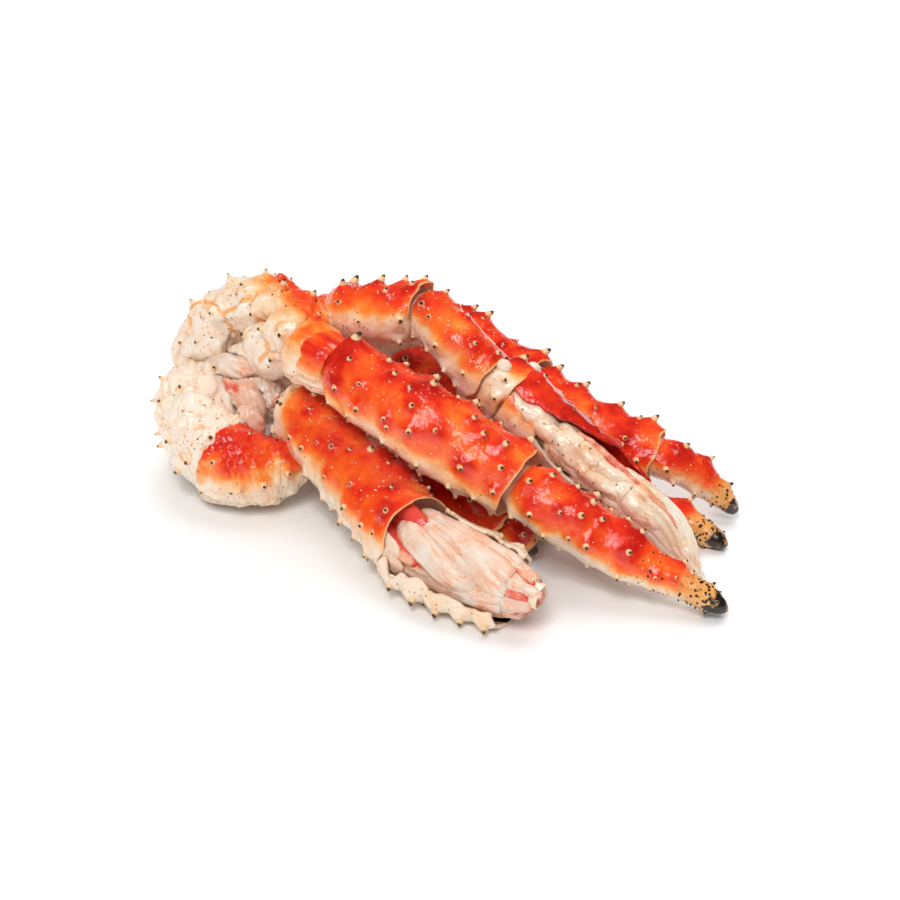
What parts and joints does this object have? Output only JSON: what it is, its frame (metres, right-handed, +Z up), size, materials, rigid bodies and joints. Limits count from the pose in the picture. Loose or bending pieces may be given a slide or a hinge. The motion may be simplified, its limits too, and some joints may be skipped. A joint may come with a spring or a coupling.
{
  "type": "king crab leg cluster",
  "caption": "Cooked crab leg cluster: a broken shoulder with pleated hips and flesh, spiny jointed legs fanning out of it, and bared meat at the cut legs.",
  "frame": {"origin": "middle of the bottom of the whole cluster, on the surface it lies on", "axes": "+X from the shoulder to the leg tips, +Y to the back legs, +Z up"},
  "size_m": [0.3196, 0.1852, 0.106],
  "materials": {
    "shell_red": "wet glossy orange-red shell",
    "shell_dark_red": "wet glossy dark red shell",
    "shell_cream": "wet glossy cream shell with red and brown marks",
    "meat_white": "moist white fibrous meat",
    "meat_pink": "moist pink flesh"
  },
  "bodies": {
    "root": {"shoulder_dome": "shell_cream", "shoulder_lobe": "shell_cream", "shoulder_back": "shell_cream", "hip_b_1": "shell_cream", "hip_b_2": "shell_cream", "hip_c": "shell_cream", "hip_d": "shell_cream", "hip_e": "shell_cream", "hip_a_3": "shell_cream", "a_tray": "shell_cream", "c_collar": "shell_cream", "c_shell": "shell_cream", "petal_upper": "shell_cream", "petal_side": "shell_cream", "g_propodus": "shell_cream", "hip_a_1": "shell_red", "hip_a_2": "shell_red", "a_merus": "shell_red", "b_merus": "shell_red", "b_dactyl": "shell_red", "c_merus": "shell_red", "c_carpus": "shell_red", "d_merus": "shell_red", "d_carpus": "shell_red", "d_propodus": "shell_red", "d_dactyl": "shell_red", "e_dactyl": "shell_red", "e_merus": "shell_dark_red", "e_propodus": "shell_dark_red", "f_carpus": "shell_dark_red", "f_merus": "shell_dark_red", "f_dactyl": "shell_dark_red", "a_meat": "meat_white", "c_meat": "meat_white", "flesh_core": "meat_white", "flesh_flap": "meat_white", "flesh_bulb_upper": "meat_pink", "flesh_bulb_lower": "meat_pink"}
  },
  "joints": []
}
